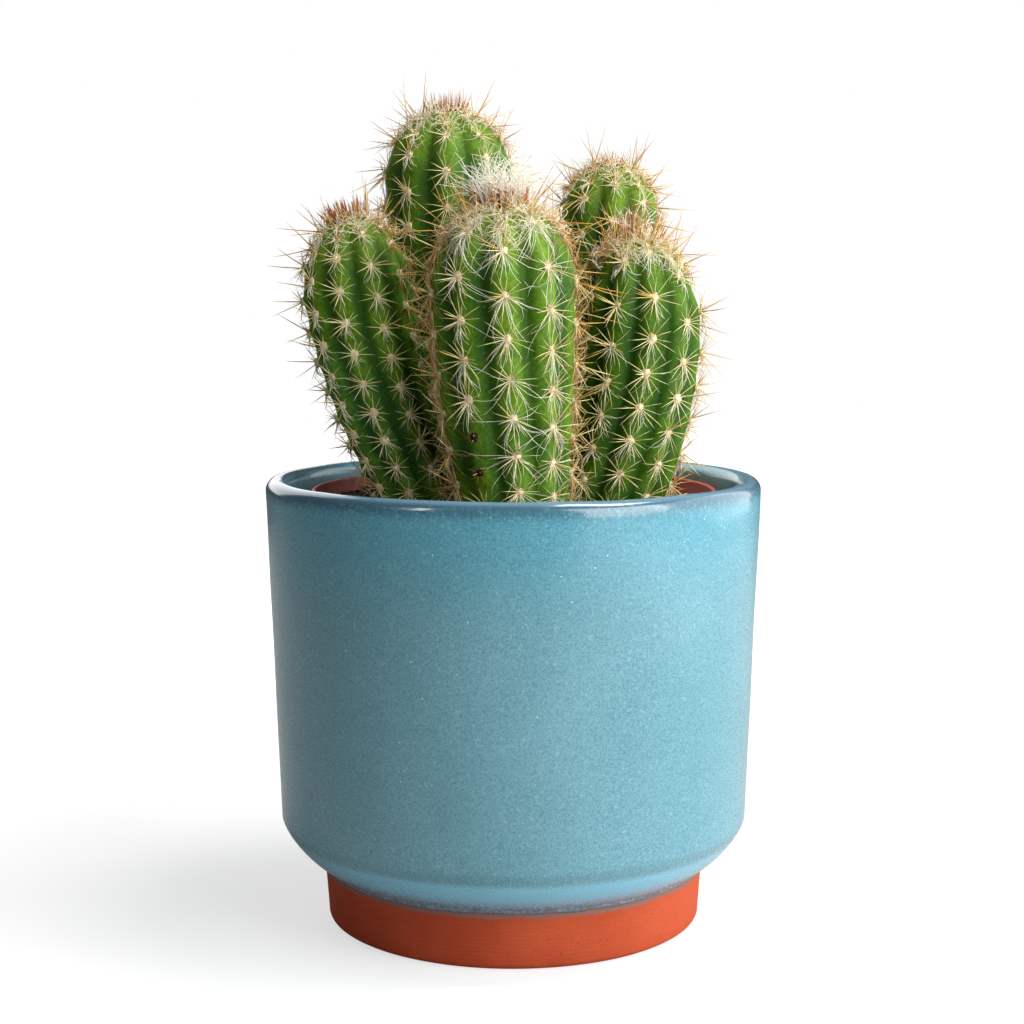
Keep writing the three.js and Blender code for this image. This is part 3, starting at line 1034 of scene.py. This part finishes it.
luck = random.Random("soil")
crumb_count, dark_fibres, straw_fibres = 1100, 190, 46
crumbs = bmesh.new()
for index in range(crumb_count):
    angle, reach = luck.uniform(0, math.tau), math.sqrt(luck.random()) * (soil_radius - 2 * MM)
    x, y = reach * math.cos(angle), reach * math.sin(angle)
    size = luck.uniform(0.4, 1.0) * MM * luck.uniform(1, 1.9)
    turn = Matrix.Rotation(luck.uniform(0, math.tau), 4, Vector((x, y, 0.01)).normalized())
    stretch = Matrix.Diagonal((size * luck.uniform(0.7, 1.5), size, size * 0.7, 1))
    made = bmesh.ops.create_icosphere(
        crumbs, subdivisions=1, radius=1,
        matrix=Matrix.Translation((x, y, soil_height(x, y))) @ turn @ stretch,
    )
    for vert in made["verts"]:
        vert.co += Vector([luck.uniform(-0.22, 0.22) * size for _ in range(3)])
piece_from(crumbs, "soil_crumbs", potting_soil, "potting_soil")


def lying_fibre(x, y, length, heading, thick, luck):
    """A fibre that lies on the soil, wavering, with its ends tucked down."""
    steps = 6
    points = []
    for index in range(steps + 1):
        lift = (0.3 + 1.2 * math.sin(math.pi * index / steps) * luck.uniform(0.3, 1)) * MM
        points.append(Vector((x, y, soil_height(x, y) + lift)))
        heading += luck.gauss(0, 0.3)
        x += math.cos(heading) * length / steps
        y += math.sin(heading) * length / steps
        if math.hypot(x, y) > soil_radius - 1 * MM:
            heading += 2.2
    return points, [thick * 0.7] + [thick] * (steps - 1) + [thick * 0.5]


fibres = []
for index in range(dark_fibres):
    angle, reach = luck.uniform(0, math.tau), math.sqrt(luck.random()) * (soil_radius - 4 * MM)
    length, heading = luck.uniform(4, 14) * MM, luck.uniform(0, math.tau)
    points, radii = lying_fibre(reach * math.cos(angle), reach * math.sin(angle), length,
                                heading, luck.uniform(0.08, 0.2) * MM, luck)
    fibres.append((points, radii, luck.uniform(0.2, 1)))
for index in range(straw_fibres):
    x, y = luck.uniform(46, 55) * MM, luck.uniform(-16, 4) * MM
    points, radii = lying_fibre(x, y, luck.uniform(5, 14) * MM, luck.gauss(0.2, 0.7),
                                luck.uniform(0.12, 0.26) * MM, luck)
    fibres.append((points, radii, luck.uniform(0, 0.15)))
piece_of(thread_mesh("fibres", fibres), "soil_fibres", fibre_material(), "dry_fibre")

# ---- Studio -------------------------------------------------------------------------------
# The object stands on a wide, flat, pale floor, which glows for the camera alone so that it
# runs into the white background. Soft lights stand at the right, above and behind, and a
# narrow weak one at the left.

floor_shape = bmesh.new()
bmesh.ops.create_circle(floor_shape, cap_ends=True, segments=96, radius=2)
floor = new_object("floor", mesh_from(floor_shape, "floor"))
white_floor, tree, shader = new_material("white_floor")
seen = put(tree, "ShaderNodeLightPath").outputs["Is Camera Ray"]
away = put(tree, "ShaderNodeVectorMath", {0: object_place(tree)}, operation="LENGTH")
glow = worked(tree, "MULTIPLY", seen, ranged(tree, away.outputs["Value"], 0.16, 0.4, 0.6, 1.1))
tree.links.new(glow, shader.inputs["Emission Strength"])
shader.inputs["Emission Color"].default_value = (1, 1, 1, 1)
shader.inputs["Base Color"].default_value = (0.45, 0.45, 0.45, 1)
shader.inputs["Roughness"].default_value = 0.9
shader.inputs["Specular IOR Level"].default_value = 0.0
floor.data.materials.append(white_floor)


def soft_light(name, place, size, power):
    """A rectangular soft light at a place, turned to the middle of the object."""
    data = bpy.data.lights.new(name, "AREA")
    data.shape, data.size, data.size_y = "RECTANGLE", size[0], size[1]
    data.energy = power
    lamp = new_object(name, data)
    lamp.location = place
    lamp.rotation_euler = (Vector((0, 0, 0.12)) - lamp.location).to_track_quat("-Z", "Y").to_euler()


soft_light("key", (0.475, -0.40, 0.34), (0.5, 0.6), 5.7)
soft_light("side", (0.60, 0.12, 0.30), (0.9, 0.6), 3.4)
soft_light("top", (0.33, 0.0, 0.95), (0.35, 0.35), 5.5)
soft_light("strip", (-0.55, -0.55, 0.55), (0.08, 0.3), 0.9)
soft_light("back", (-0.35, 0.65, 0.45), (0.7, 0.6), 2.2)

world = bpy.data.worlds.new("studio")
world.use_nodes = True
bpy.context.scene.world = world
tree = world.node_tree
background = tree.nodes["Background"]
background.inputs["Color"].default_value = (1, 1, 1, 1)
seen = put(tree, "ShaderNodeLightPath").outputs["Is Camera Ray"]
tree.links.new(ranged(tree, seen, 0.0, 1.0, 0.07, 1.0), background.inputs["Strength"])

camera_data = bpy.data.cameras.new("camera")
camera_data.lens, camera_data.sensor_width = 68.1, 36
camera_data.shift_x = -0.0014
camera = new_object("camera", camera_data)
camera.location = (0, -0.5685, 0.1877)
camera.rotation_euler = (math.radians(90 - 6.77), 0, 0)
bpy.context.scene.camera = camera
bpy.context.scene.view_settings.view_transform = "Standard"
